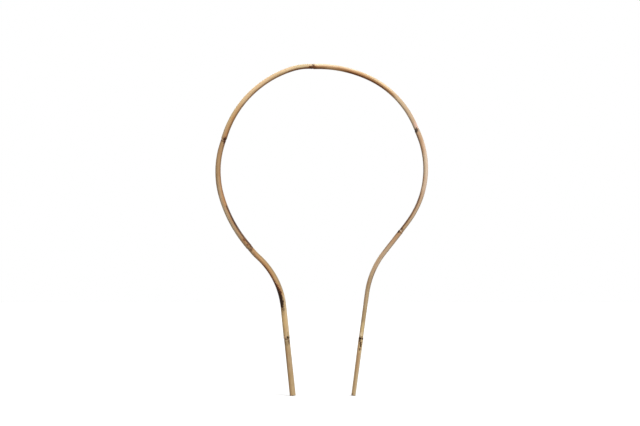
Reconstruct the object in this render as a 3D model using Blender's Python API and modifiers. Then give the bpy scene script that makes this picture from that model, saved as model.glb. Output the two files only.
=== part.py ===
"""Bamboo hoop trellis: one cane, heated and bent into a keyhole hoop on two legs that push into the soil.

Metres, +Z up, front towards -Y. The hoop lies in the XZ plane, with the origin at ground level under its
middle. The cane grows from the left foot, over the hoop, to the right foot, and it is built as it grew:
hollow segments, closed by solid knuckles.
"""

import math
from collections import namedtuple

import bmesh
import bpy
from mathutils import Matrix

# Cane, across the bark: it tapers from butt to tip, and each segment is thickest just past its knuckle
BUTT_DIAMETER = 0.0112
TIP_DIAMETER = 0.0081
SEGMENT_SWELL = 0.0009
WALL = 0.0025

# How much of their segment the two feet keep: each is sawn through halfway along
BUTT_SAWN_AT = 0.5
TIP_SAWN_AT = 0.5

# Sheath scar, the thin ring that the fallen leaf left: bark, a flare up to the lip, and a groove behind it
SCAR_LAND = 0.0012
SCAR_FLARE = 0.0018
SCAR_WIDTH = 0.0006
SCAR_HEIGHT = 0.0003
GROOVE_WIDTH = 0.0008
GROOVE_DEPTH = 0.0002

# Ridge, the rounded swelling on the tip side of the groove, and the bark that follows it
RIDGE_WIDTH = 0.0052
RIDGE_HEIGHT = 0.0004
RIDGE_LAND = 0.0008

# A knuckle is as long as what lies along it, and keeps clear of the segments beside it
KNUCKLE_LENGTH = SCAR_LAND + SCAR_FLARE + SCAR_WIDTH + GROOVE_WIDTH + RIDGE_WIDTH + RIDGE_LAND
KNUCKLE_GAP = 0.0003
STRAIGHT_BESIDE_KNUCKLE = 0.003

# Buds on the ridges, first on the front, a little towards the inside of the hoop, then on the back, in turn
BUD_LENGTH = 0.0044
BUD_WIDTH = 0.0030
BUD_HEIGHT = 0.0006
FIRST_BUD_ANGLE = 25.0
NEXT_BUD_TURN = 180.0

# Legs, by their lean from the vertical: the feet stand closer together than the shoulders
LEFT_LEG_LEAN = 6.0
RIGHT_LEG_LEAN = 7.5

# Route from the left foot on: how long each stretch of cane is, and the degrees that it bends to the left.
# The top takes up what the other bends leave, and the right foot reaches down to the ground.
LEFT_FOOT_LENGTH = 0.0965
LEFT_LEG_LENGTH = 0.051
LEFT_SHOULDER_LENGTH = 0.105
LEFT_SHOULDER_BEND = 42.0
LEFT_NECK_LENGTH = 0.015
LEFT_NECK_BEND = -8.5
LEFT_FLANK_LENGTH = 0.100
LEFT_FLANK_BEND = -23.5
LEFT_SIDE_LENGTH = 0.098
LEFT_SIDE_BEND = -34.0
LEFT_CROWN_LENGTH = 0.180
LEFT_CROWN_BEND = -55.0
TOP_LENGTH = 0.030
RIGHT_CROWN_LENGTH = 0.099
RIGHT_CROWN_BEND = -25.5
RIGHT_SIDE_LENGTH = 0.123
RIGHT_SIDE_BEND = -41.5
RIGHT_FLANK_LENGTH = 0.076
RIGHT_FLANK_BEND = -26.5
RIGHT_TURN_LENGTH = 0.088
RIGHT_TURN_BEND = -31.0
RIGHT_NECK_LENGTH = 0.019
RIGHT_NECK_BEND = -3.5
RIGHT_REACH_LENGTH = 0.043
RIGHT_SHOULDER_LENGTH = 0.080
RIGHT_SHOULDER_BEND = 30.0
RIGHT_LEG_LENGTH = 0.074
RIGHT_LEG_BEND = 0.5

# Fineness of the round shapes
RING_SPACING = 0.012
SIDES = 16
RIDGE_STEPS = 6
BUD_SIDES = 10
BUD_RINGS = 6
MERGE_DISTANCE = 0.00001

# Bark colours in sRGB, darker towards the butt and palest on the sunny side of the hoop
BARK_ROUGHNESS = 0.5
KNUCKLE_ROUGHNESS = 0.65
BUTT_BARK = (0.70, 0.59, 0.43)
HONEY_BARK = (0.73, 0.58, 0.39)
OLIVE_BARK = (0.70, 0.58, 0.40)
PALE_BARK = (0.82, 0.71, 0.53)
CREAM_BARK = (0.85, 0.75, 0.58)
ROSY_BARK = (0.78, 0.65, 0.50)
KNUCKLE_BARK = (0.55, 0.42, 0.28)

Segment = namedtuple("Segment", "name bark place rings start grown_from grown_to")
Knuckle = namedtuple("Knuckle", "name place below above bud_angle")


def clear_scene():
    for thing in list(bpy.data.objects):
        bpy.data.objects.remove(thing)


def new_collection(name):
    collection = bpy.data.collections.new(name)
    bpy.context.scene.collection.children.link(collection)
    return collection


def linear(srgb):
    return [c / 12.92 if c <= 0.04045 else ((c + 0.055) / 1.055) ** 2.4 for c in srgb]


def bark_material(name, srgb, roughness):
    material = bpy.data.materials.new(name + "_bark")
    material.use_nodes = True
    shader = material.node_tree.nodes["Principled BSDF"]
    shader.inputs["Base Color"].default_value = (*linear(srgb), 1.0)
    shader.inputs["Roughness"].default_value = roughness
    shader.inputs["Metallic"].default_value = 0.0
    return material


def top_bend():
    """The bend that brings the right leg to its lean, after all the others."""
    others = (
        LEFT_SHOULDER_BEND, LEFT_NECK_BEND, LEFT_FLANK_BEND, LEFT_SIDE_BEND, LEFT_CROWN_BEND,
        RIGHT_CROWN_BEND, RIGHT_SIDE_BEND, RIGHT_FLANK_BEND, RIGHT_TURN_BEND, RIGHT_NECK_BEND,
        RIGHT_SHOULDER_BEND, RIGHT_LEG_BEND,
    )
    return -(180.0 + LEFT_LEG_LEAN + RIGHT_LEG_LEAN) - sum(others)


def segment_table():
    """Name, bark and stretches of each hollow segment above the feet, in the order of growth."""
    return (
        ("left_shoulder", HONEY_BARK, (
            (LEFT_LEG_LENGTH, 0.0),
            (LEFT_SHOULDER_LENGTH, LEFT_SHOULDER_BEND),
            (LEFT_NECK_LENGTH, LEFT_NECK_BEND),
        )),
        ("left_lower_hoop", OLIVE_BARK, (
            (LEFT_FLANK_LENGTH, LEFT_FLANK_BEND),
            (LEFT_SIDE_LENGTH, LEFT_SIDE_BEND),
        )),
        ("left_upper_hoop", PALE_BARK, (
            (LEFT_CROWN_LENGTH, LEFT_CROWN_BEND),
            (TOP_LENGTH, top_bend()),
        )),
        ("right_upper_hoop", CREAM_BARK, (
            (RIGHT_CROWN_LENGTH, RIGHT_CROWN_BEND),
            (RIGHT_SIDE_LENGTH, RIGHT_SIDE_BEND),
        )),
        ("right_lower_hoop", ROSY_BARK, (
            (RIGHT_FLANK_LENGTH, RIGHT_FLANK_BEND),
            (RIGHT_TURN_LENGTH, RIGHT_TURN_BEND),
            (RIGHT_NECK_LENGTH, RIGHT_NECK_BEND),
        )),
        ("right_shoulder", HONEY_BARK, (
            (RIGHT_REACH_LENGTH, 0.0),
            (RIGHT_SHOULDER_LENGTH, RIGHT_SHOULDER_BEND),
            (RIGHT_LEG_LENGTH, RIGHT_LEG_BEND),
        )),
    )


KNUCKLE_NAMES = (
    "left_leg_node",
    "left_lower_node",
    "left_upper_node",
    "top_node",
    "right_upper_node",
    "right_lower_node",
    "right_leg_node",
)


def step_along(place, length, bend):
    """The place reached from another along an arc that bends to the left, with +Z along the cane."""
    half = math.radians(bend) / 2
    chord = length * math.sin(half) / half if half else length
    turn = Matrix.Rotation(-half, 4, "Y")
    return place @ turn @ Matrix.Translation((0.0, 0.0, chord)) @ turn


def rings_along(stretches):
    """Rings of a segment in its own frame, each with the length of cane behind it."""
    rings = [(Matrix.Identity(4), 0.0)]
    for length, bend in stretches:
        steps = math.ceil(length / RING_SPACING) if bend else 1
        for _ in range(steps):
            place, behind = rings[-1]
            rings.append((step_along(place, length / steps, bend / steps), behind + length / steps))
    return rings


def foot_height(diameter, lean):
    """Height of a foot's middle when its square-sawn end touches the ground with its lower edge."""
    return diameter / 2 * math.sin(math.radians(lean))


def plan_cane():
    """Every segment and knuckle in the order of growth, each with its place; the left foot stands at x = 0."""
    beside = (STRAIGHT_BESIDE_KNUCKLE, 0.0)
    runs = [("left_foot", BUTT_BARK, ((LEFT_FOOT_LENGTH, 0.0), beside), 1.0 - BUTT_SAWN_AT, 1.0)]
    for name, bark, stretches in segment_table():
        runs.append((name, bark, (beside, *stretches, beside), 0.0, 1.0))
    start_height = foot_height(BUTT_DIAMETER, LEFT_LEG_LEAN)
    lean = Matrix.Rotation(-math.radians(LEFT_LEG_LEAN), 4, "Y")
    place = Matrix.Translation((0.0, 0.0, start_height)) @ lean
    start = 0.0
    segments = []
    middles = []
    for name, bark, stretches, grown_from, grown_to in runs:
        rings = rings_along(stretches)
        segments.append(Segment(name, bark, place, rings, start, grown_from, grown_to))
        end, length = rings[-1]
        middles.append(step_along(place @ end, KNUCKLE_GAP + KNUCKLE_LENGTH / 2, 0.0))
        place = step_along(middles[-1], KNUCKLE_GAP + KNUCKLE_LENGTH / 2, 0.0)
        start += length + KNUCKLE_LENGTH + 2 * KNUCKLE_GAP
    drop = place.translation.z - foot_height(TIP_DIAMETER, RIGHT_LEG_LEAN)
    rings = rings_along(((drop / math.cos(math.radians(RIGHT_LEG_LEAN)), 0.0),))
    segments.append(Segment("right_foot", ROSY_BARK, place, rings, start, 0.0, TIP_SAWN_AT))
    return segments, middles


def bark_radius(segment, behind, cane_length):
    """Outer radius of a segment at a length of cane past its start."""
    along = (segment.start + behind) / cane_length
    share = behind / segment.rings[-1][1]
    grown = segment.grown_from + (segment.grown_to - segment.grown_from) * share
    diameter = BUTT_DIAMETER + (TIP_DIAMETER - BUTT_DIAMETER) * along
    return (diameter + SEGMENT_SWELL * (0.5 - grown)) / 2


def plan_knuckles(segments, middles, cane_length):
    """Each knuckle with the radii of the segments below and above it and the side that its bud is on."""
    knuckles = []
    for number, (name, place) in enumerate(zip(KNUCKLE_NAMES, middles)):
        lower = segments[number]
        upper = segments[number + 1]
        below = bark_radius(lower, lower.rings[-1][1], cane_length)
        above = bark_radius(upper, 0.0, cane_length)
        knuckles.append(Knuckle(name, place, below, above, FIRST_BUD_ANGLE + number * NEXT_BUD_TURN))
    return knuckles


def middle_of_hoop(segments, cane_length):
    """Halfway between the outermost points of the bark to the left and to the right."""
    reach = []
    for segment in segments:
        for ring, behind in segment.rings:
            across = segment.place @ ring
            radius = bark_radius(segment, behind, cane_length)
            reach.append((across @ Matrix.Translation((radius, 0.0, 0.0))).translation.x)
            reach.append((across @ Matrix.Translation((-radius, 0.0, 0.0))).translation.x)
    return (min(reach) + max(reach)) / 2


def place_under(thing, parent, place):
    thing.parent = parent
    thing.location = place.to_translation()
    thing.rotation_euler = place.to_euler()


def segment_tube(segment, cane_length):
    """The bark of a segment as a curve whose radius follows the taper."""
    curve = bpy.data.curves.new(segment.name, "CURVE")
    curve.dimensions = "3D"
    curve.bevel_depth = BUTT_DIAMETER / 2
    curve.bevel_resolution = SIDES // 2 - 2
    curve.use_fill_caps = False
    spline = curve.splines.new("POLY")
    spline.points.add(len(segment.rings) - 1)
    for point, (ring, behind) in zip(spline.points, segment.rings):
        point.co = (*ring.to_translation(), 1.0)
        point.radius = bark_radius(segment, behind, cane_length) / curve.bevel_depth
    return bpy.data.objects.new(segment.name + "_line", curve)


def make_segment(segment, cane_length, parts, parent):
    """A hollow segment: its bark as an open tube, given the cane's wall towards the inside."""
    line = segment_tube(segment, cane_length)
    parts.objects.link(line)
    bpy.context.view_layer.update()
    evaluated = line.evaluated_get(bpy.context.evaluated_depsgraph_get())
    mesh = bpy.data.meshes.new_from_object(evaluated)
    mesh.name = segment.name
    bpy.data.objects.remove(line)
    mesh.shade_smooth()
    tube = bpy.data.objects.new(segment.name, mesh)
    parts.objects.link(tube)
    place_under(tube, parent, segment.place)
    wall = tube.modifiers.new("wall", "SOLIDIFY")
    wall.thickness = WALL
    wall.offset = -1.0
    wall.use_even_offset = True
    wall.use_rim = True
    mesh.materials.append(bark_material(segment.name, segment.bark, BARK_ROUGHNESS))


def ridge_outline(below, above):
    """The ridge from its tip side down to the groove, as radii and heights from its tip side."""
    points = []
    for step in range(RIDGE_STEPS + 1):
        share = step / RIDGE_STEPS
        bark = above + (below - GROOVE_DEPTH - above) * share
        rise = RIDGE_HEIGHT * (1 - math.cos(2 * math.pi * share)) / 2
        points.append((bark + rise, -RIDGE_WIDTH * share))
    return points


def knuckle_outline(below, above):
    """A knuckle's outer side from its tip end down, as (radius, height) about its middle."""
    tip_end = KNUCKLE_LENGTH / 2
    ridge_top = tip_end - RIDGE_LAND
    lip_top = ridge_top - RIDGE_WIDTH - GROOVE_WIDTH
    flare_top = lip_top - SCAR_WIDTH
    lip = below + SCAR_HEIGHT
    outline = [(0.0, tip_end), (above, tip_end)]
    outline += [(radius, ridge_top + height) for radius, height in ridge_outline(below, above)]
    outline += [
        (below - GROOVE_DEPTH, lip_top),
        (lip, lip_top),
        (lip, flare_top),
        (below + SCAR_HEIGHT / 4, flare_top - SCAR_FLARE / 2),
        (below, flare_top - SCAR_FLARE),
        (below, -tip_end),
        (0.0, -tip_end),
    ]
    return outline


def make_bud(knuckle, joiners, owner):
    """A bud's oval mound, sunk into the ridge so that its long edges run into the bark."""
    bark = (knuckle.below + knuckle.above) / 2
    sunk = bark - math.sqrt(bark ** 2 - (BUD_WIDTH / 2) ** 2)
    size = Matrix.Diagonal((BUD_WIDTH / 2, BUD_HEIGHT + sunk, BUD_LENGTH / 2, 1.0))
    mound = bmesh.new()
    bmesh.ops.create_uvsphere(mound, u_segments=BUD_SIDES, v_segments=BUD_RINGS, radius=1.0, matrix=size)
    mesh = bpy.data.meshes.new(knuckle.name + "_bud")
    mound.to_mesh(mesh)
    mound.free()
    mesh.shade_smooth()
    bud = bpy.data.objects.new(mesh.name, mesh)
    joiners.objects.link(bud)
    height = KNUCKLE_LENGTH / 2 - RIDGE_LAND - BUD_LENGTH / 2
    round_cane = Matrix.Rotation(math.radians(knuckle.bud_angle), 4, "Z")
    outwards = RIDGE_HEIGHT + bark - sunk
    place_under(bud, owner, round_cane @ Matrix.Translation((0.0, -outwards, height)))
    bud.hide_render = True
    bud.display_type = "WIRE"
    return bud


def make_knuckle(knuckle, parts, joiners, parent):
    """A solid knuckle: its outline turned round the cane's axis, with the bud joined on."""
    outline = knuckle_outline(knuckle.below, knuckle.above)
    mesh = bpy.data.meshes.new(knuckle.name)
    corners = [(radius, 0.0, height) for radius, height in outline]
    mesh.from_pydata(corners, [(n, n + 1) for n in range(len(corners) - 1)], [])
    body = bpy.data.objects.new(knuckle.name, mesh)
    parts.objects.link(body)
    place_under(body, parent, knuckle.place)
    turned = body.modifiers.new("turned", "SCREW")
    turned.axis = "Z"
    turned.angle = 2 * math.pi
    turned.steps = SIDES
    turned.render_steps = SIDES
    turned.use_merge_vertices = True
    turned.merge_threshold = MERGE_DISTANCE
    turned.use_smooth_shade = True
    bud = body.modifiers.new("bud", "BOOLEAN")
    bud.operation = "UNION"
    bud.solver = "EXACT"
    bud.object = make_bud(knuckle, joiners, body)
    mesh.materials.append(bark_material(knuckle.name, KNUCKLE_BARK, KNUCKLE_ROUGHNESS))


def build():
    clear_scene()
    parts = new_collection("bamboo_trellis")
    joiners = new_collection("joined_buds")
    segments, middles = plan_cane()
    cane_length = segments[-1].start + segments[-1].rings[-1][1]
    origin = bpy.data.objects.new("ground_origin", None)
    origin.location.x = -middle_of_hoop(segments, cane_length)
    parts.objects.link(origin)
    for segment in segments:
        make_segment(segment, cane_length, parts, origin)
    for knuckle in plan_knuckles(segments, middles, cane_length):
        make_knuckle(knuckle, parts, joiners, origin)
    print("cane length", round(cane_length, 4), "m")


build()
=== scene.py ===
"""A bamboo hoop for a climbing plant: one dry cane, heated and bent into a keyhole outline on two legs."""

import math

import bpy
from mathutils import Matrix, Vector, noise


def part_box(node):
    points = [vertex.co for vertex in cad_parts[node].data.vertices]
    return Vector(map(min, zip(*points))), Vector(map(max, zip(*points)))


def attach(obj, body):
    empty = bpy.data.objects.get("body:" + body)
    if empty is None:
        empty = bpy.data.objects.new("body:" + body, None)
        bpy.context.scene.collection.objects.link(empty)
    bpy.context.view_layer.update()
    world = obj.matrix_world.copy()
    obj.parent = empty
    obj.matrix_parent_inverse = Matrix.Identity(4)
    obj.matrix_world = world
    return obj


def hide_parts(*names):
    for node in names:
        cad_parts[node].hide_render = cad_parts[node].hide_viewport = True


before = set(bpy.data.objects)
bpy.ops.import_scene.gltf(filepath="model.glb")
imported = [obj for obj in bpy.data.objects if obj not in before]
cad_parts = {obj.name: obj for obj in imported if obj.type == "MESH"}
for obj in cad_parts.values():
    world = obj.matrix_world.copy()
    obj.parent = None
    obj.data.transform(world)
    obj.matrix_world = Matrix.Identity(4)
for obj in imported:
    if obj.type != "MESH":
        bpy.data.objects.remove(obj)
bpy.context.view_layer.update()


# The line of the hoop: the cane is heated and laid over a former, a stretch at a time, from the left foot
# over the top to the right foot. Each hollow segment has its stretches here, as a length in metres and a bend
# in degrees to the left. The knuckles between them stay straight, and so does the cane beside a knuckle.
BESIDE_KNUCKLE = (0.003, 0.0)
STRETCHES = {
    "left_foot": ((0.0965, 0.0), BESIDE_KNUCKLE),
    "left_shoulder": (BESIDE_KNUCKLE, (0.051, 0.0), (0.105, 42.0), (0.015, -8.5), BESIDE_KNUCKLE),
    "left_lower_hoop": (BESIDE_KNUCKLE, (0.100, -23.5), (0.098, -34.0), BESIDE_KNUCKLE),
    "left_upper_hoop": (BESIDE_KNUCKLE, (0.180, -55.0), (0.030, -17.0), BESIDE_KNUCKLE),
    "right_upper_hoop": (BESIDE_KNUCKLE, (0.099, -25.5), (0.123, -41.5), BESIDE_KNUCKLE),
    "right_lower_hoop": (BESIDE_KNUCKLE, (0.076, -26.5), (0.088, -31.0), (0.019, -3.5), BESIDE_KNUCKLE),
    "right_shoulder": (BESIDE_KNUCKLE, (0.043, 0.0), (0.080, 30.0), (0.074, 0.5), BESIDE_KNUCKLE),
}
KNUCKLE_SPACE = 0.011
BUTT_DIAMETER = 0.0112
TIP_DIAMETER = 0.0081
LEFT_LEAN = math.radians(6.0)
RIGHT_LEAN = math.radians(7.5)
LINE_STEP = 0.002


def follow(places, length, bend):
    """Goes on in short steps along an arc that bends to the left, with +Z along the cane."""
    steps = math.ceil(length / LINE_STEP)
    step = length / steps
    half = math.radians(bend / steps) / 2
    chord = step * math.sin(half) / half if half else step
    turn = Matrix.Rotation(-half, 4, "Y")
    for _ in range(steps):
        places.append(places[-1] @ turn @ Matrix.Translation((0.0, 0.0, chord)) @ turn)


foot_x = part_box("left_foot")[1].x - BUTT_DIAMETER / 2 * math.cos(LEFT_LEAN)
foot_z = BUTT_DIAMETER / 2 * math.sin(LEFT_LEAN)
places = [Matrix.Translation((foot_x, 0.0, foot_z)) @ Matrix.Rotation(-LEFT_LEAN, 4, "Y")]
spans = {}
reached = 0.0
for name, stretches in STRETCHES.items():
    grown = sum(length for length, bend in stretches)
    spans[name] = (reached, reached + grown)
    reached += grown + KNUCKLE_SPACE
    for length, bend in stretches:
        follow(places, length, bend)
    follow(places, KNUCKLE_SPACE, 0.0)
drop = places[-1].translation.z - TIP_DIAMETER / 2 * math.sin(RIGHT_LEAN)
cane_length = reached + drop / math.cos(RIGHT_LEAN)
spans["right_foot"] = (reached, cane_length)
follow(places, cane_length - reached, 0.0)

line = bpy.data.curves.new("former", "CURVE")
line.dimensions = "3D"
line.twist_mode = "MINIMUM"
spline = line.splines.new("POLY")
spline.points.add(len(places) - 1)
for point, place in zip(spline.points, places):
    point.co = (*place.translation, 1.0)
former = bpy.data.objects.new("former", line)
bpy.context.scene.collection.objects.link(former)


# Left foot: the butt of the cane, a hollow length of dry bamboo, sawn square at the ground and open there.
# It is modelled straight, with the front at +X, the hoop's inside at +Y and its place along the cane as Z,
# and laid round the former last, as every piece is. Its bark, wrinkles and sawn end are made here for all.
SEGMENT_SWELL = 0.0009
WALL = 0.0025
JOINT = 0.00015
SIDES = 96
RING_SPACING = 0.002
SMOOTH_ANGLE = math.radians(40)
SAW_CHAMFER = 0.00018
SAW_ROWS = 5
SAW_STROKE = 0.0009
SAW_SLANT = 0.25
SAW_DEPTH = 0.00007

# Swells and wrinkles of the bark, as width, length and depth, and each kind of grain, as width and length
BARK_SWELLS = ((0.006, 0.060, 0.00014), (0.0014, 0.018, 0.00006))
BLOTCHES = (0.007, 0.045)
CLOUDS = (0.012, 0.090)
STREAKS = (0.0011, 0.035)
FIBRES = (0.00028, 0.009)
PORES = (0.0005, 0.0026)
TEARS = (0.0013, 0.0045)
FRAYS = (0.00045, 0.0024)
STRIPE_GAPS = (0.0022, 0.030)
PAPER = (0.0015, 0.006)
END_PATCHES = (0.002, 0.002)
BUNDLES_PER_METRE = (2600.0, 2600.0, 60.0)
FIBRE_DEPTH = 0.00004
PAPER_DEPTH = 0.0001
BUNDLE_DEPTH = 0.00005

# Gloss of the cane, and how much of a stripe or a stain is left where the grain thins it out
SHINE = 0.15
STRIPE_LEVELS = (0.30, 0.62)
STRIPE_THINNEST = 0.65
STAIN_LEVELS = (0.38, 0.62)
STAIN_THINNEST = 0.75

# Bark colours in sRGB, and where along the cane each one is at its strongest
OLIVE_TAN = (192, 165, 124)
SHADED_OLIVE = (170, 139, 97)
YELLOW_OLIVE = (207, 174, 121)
GREY_OLIVE = (177, 152, 113)
ORANGE_TAN = (174, 137, 95)
DUSKY_TAN = (172, 141, 102)
BROWN_TAN = (172, 136, 94)
HONEY = (184, 149, 108)
GOLDEN_TAN = (205, 172, 118)
PEACH = (228, 194, 150)
CREAM = (229, 200, 157)
STRAW = (214, 192, 149)
ROSY_CREAM = (216, 190, 160)
ROSY_TAN = (190, 162, 130)
BARK_ALONG = (
    (0.00, OLIVE_TAN), (0.075, SHADED_OLIVE), (0.135, YELLOW_OLIVE), (0.24, ORANGE_TAN), (0.32, BROWN_TAN),
    (0.38, HONEY), (0.43, DUSKY_TAN), (0.47, HONEY), (0.51, DUSKY_TAN), (0.55, GOLDEN_TAN), (0.60, PEACH),
    (0.65, PEACH), (0.69, CREAM), (0.715, STRAW), (0.745, CREAM), (0.88, CREAM), (0.96, ROSY_CREAM),
    (1.08, ROSY_CREAM), (1.13, ROSY_TAN), (1.165, ORANGE_TAN), (1.20, ROSY_TAN), (1.26, ROSY_TAN),
    (1.31, GREY_OLIVE), (1.40, OLIVE_TAN),
)
ORANGE_BLOTCH = (192, 134, 86)
OLIVE_BLOTCH = (158, 142, 100)
PALE_BLOTCH = (226, 208, 176)
STREAK_BROWN = (118, 84, 56)
SCORCH_BROWN = (86, 54, 34)
PORE_BROWN = (78, 56, 38)
END_CREAM = (198, 168, 124)
END_BROWN = (120, 92, 62)
BUNDLE_BROWN = (104, 70, 42)
LINING_CREAM = (214, 190, 150)
LINING_TAN = (160, 128, 88)


def take(piece):
    """Selects a piece alone and makes it the active one."""
    bpy.ops.object.select_all(action="DESELECT")
    piece.select_set(True)
    bpy.context.view_layer.objects.active = piece


def added(name):
    """Names what was just added, and moves its place, turn and size into its mesh."""
    piece = bpy.context.object
    piece.name = name
    bpy.ops.object.transform_apply(location=True, rotation=True, scale=True)
    return piece


def leave_edit():
    """Goes back out of edit mode."""
    bpy.ops.object.mode_set(mode="OBJECT")


def pick(piece, kind, wanted):
    """Goes into edit mode with only the edges or faces selected that wanted says."""
    take(piece)
    bpy.ops.object.mode_set(mode="EDIT")
    bpy.ops.mesh.select_mode(type=kind)
    bpy.ops.mesh.select_all(action="DESELECT")
    leave_edit()
    for item in {"EDGE": piece.data.edges, "FACE": piece.data.polygons}[kind]:
        item.select = wanted(item)
    bpy.ops.object.mode_set(mode="EDIT")


def finish_modifier(piece, kind, **settings):
    """Adds a modifier and applies it."""
    take(piece)
    bpy.ops.object.modifier_add(type=kind)
    modifier = piece.modifiers[-1]
    for setting, value in settings.items():
        setattr(modifier, setting, value)
    bpy.ops.object.modifier_apply(modifier=modifier.name)


def push(piece, distance, where, way="NORMAL"):
    """Moves the surface, by the share of a distance that where gives for an angle and a place on the cane."""
    group = piece.vertex_groups.new(name="push")
    for vertex in piece.data.vertices:
        x, y, along = vertex.co
        share = where(math.degrees(math.atan2(y, x)), along)
        if share > 0:
            group.add([vertex.index], share, "REPLACE")
    move_group(piece, group, distance, way)


def move_group(piece, group, distance, way):
    """Moves a group of points, each by its share of the distance, and lets go of it."""
    finish_modifier(
        piece, "DISPLACE", vertex_group=group.name, strength=distance, mid_level=0.0, direction=way,
    )
    piece.vertex_groups.clear()


def hill(value, middle, reach):
    """1 at the middle, and smoothly down to 0 at that reach on both sides."""
    share = max(0.0, 1.0 - abs(value - middle) / reach)
    return share * share * (3 - 2 * share)


def turned(angle, other):
    """Degrees between two directions round the cane."""
    return abs((angle - other + 180) % 360 - 180)


def swell(piece, distance, angle, around, at, reach):
    """Swells the bark round one angle and place, or chips it, where the distance is below 0."""
    push(piece, distance, lambda degrees, along: (
        hill(turned(degrees, angle), 0, around) * hill(along, at, reach)
    ))


def bark_radius(name, along):
    """Outer radius of a segment, thickest just past its knuckle. Each foot is half a segment."""
    start, end = spans[name]
    share = (along - start) / (end - start)
    grown = {"left_foot": 0.5 + share / 2, "right_foot": share / 2}.get(name, share)
    diameter = BUTT_DIAMETER + (TIP_DIAMETER - BUTT_DIAMETER) * along / cane_length
    return (diameter + SEGMENT_SWELL * (0.5 - grown)) / 2


def uneven(piece):
    """Presses long shallow swells and fine wrinkles into the bark, which is round but never quite true."""
    for width, length, depth in BARK_SWELLS:
        grain = bpy.data.objects.new("grain", None)
        grain.scale = (width, width, length)
        bpy.context.scene.collection.objects.link(grain)
        bpy.context.view_layer.update()
        waves = bpy.data.textures.new("waves", "CLOUDS")
        waves.noise_scale = 1.0
        finish_modifier(
            piece, "DISPLACE", texture=waves, texture_coords="OBJECT", texture_coords_object=grain,
            mid_level=1.0, strength=depth,
        )
        bpy.data.objects.remove(grain)


def grow_tube(name):
    """The bark of a segment: an open cone, in rings."""
    start, end = spans[name]
    start -= JOINT if start else 0.0
    end += JOINT if end < cane_length else 0.0
    middle = (start + end) / 2
    bpy.ops.object.select_all(action="DESELECT")
    bpy.ops.mesh.primitive_cone_add(
        vertices=SIDES, radius1=bark_radius(name, start), radius2=bark_radius(name, end), depth=end - start,
        end_fill_type="NOTHING", location=(0.0, 0.0, middle),
    )
    piece = added(name + "_cane")
    corners = piece.data.vertices
    pick(piece, "EDGE", lambda edge: len({corners[n].co.z > middle for n in edge.vertices}) == 2)
    bpy.ops.mesh.subdivide(number_cuts=round((end - start) / RING_SPACING))
    leave_edit()
    uneven(piece)
    return piece


def saw_end(piece, height):
    """A sawn end: its outer edge is broken, and the saw leaves shallow strokes across the wall."""
    out = lambda n: piece.data.vertices[n].co.xy.length
    at_end = lambda n: abs(piece.data.vertices[n].co.z - height) < RING_SPACING / 4
    outer = max(out(n) for n in range(len(piece.data.vertices)) if at_end(n))
    pick(piece, "EDGE", lambda edge: all(at_end(n) and out(n) > outer - WALL / 2 for n in edge.vertices))
    bpy.ops.mesh.bevel(offset=SAW_CHAMFER, segments=2, affect="EDGES")
    leave_edit()
    across = lambda edge: abs(out(edge.vertices[0]) - out(edge.vertices[1])) > WALL / 2
    pick(piece, "EDGE", lambda edge: all(at_end(n) for n in edge.vertices) and across(edge))
    bpy.ops.mesh.subdivide(number_cuts=SAW_ROWS)
    leave_edit()
    group = piece.vertex_groups.new(name="strokes")
    for n, corner in enumerate(piece.data.vertices):
        if abs(corner.co.z - height) < SAW_CHAMFER / 4 and out(n) < outer - SAW_CHAMFER * 2:
            stroke = math.sin(2 * math.pi * (corner.co.x + corner.co.y * SAW_SLANT) / SAW_STROKE)
            group.add([n], (1 + stroke) / 2, "REPLACE")
    move_group(piece, group, SAW_DEPTH if height < cane_length / 2 else -SAW_DEPTH, "Z")


def shade(srgb):
    """A colour of 0 to 255 as Blender wants it."""
    return (*(((c / 255 + 0.055) / 1.055) ** 2.4 for c in srgb), 1.0)


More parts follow.
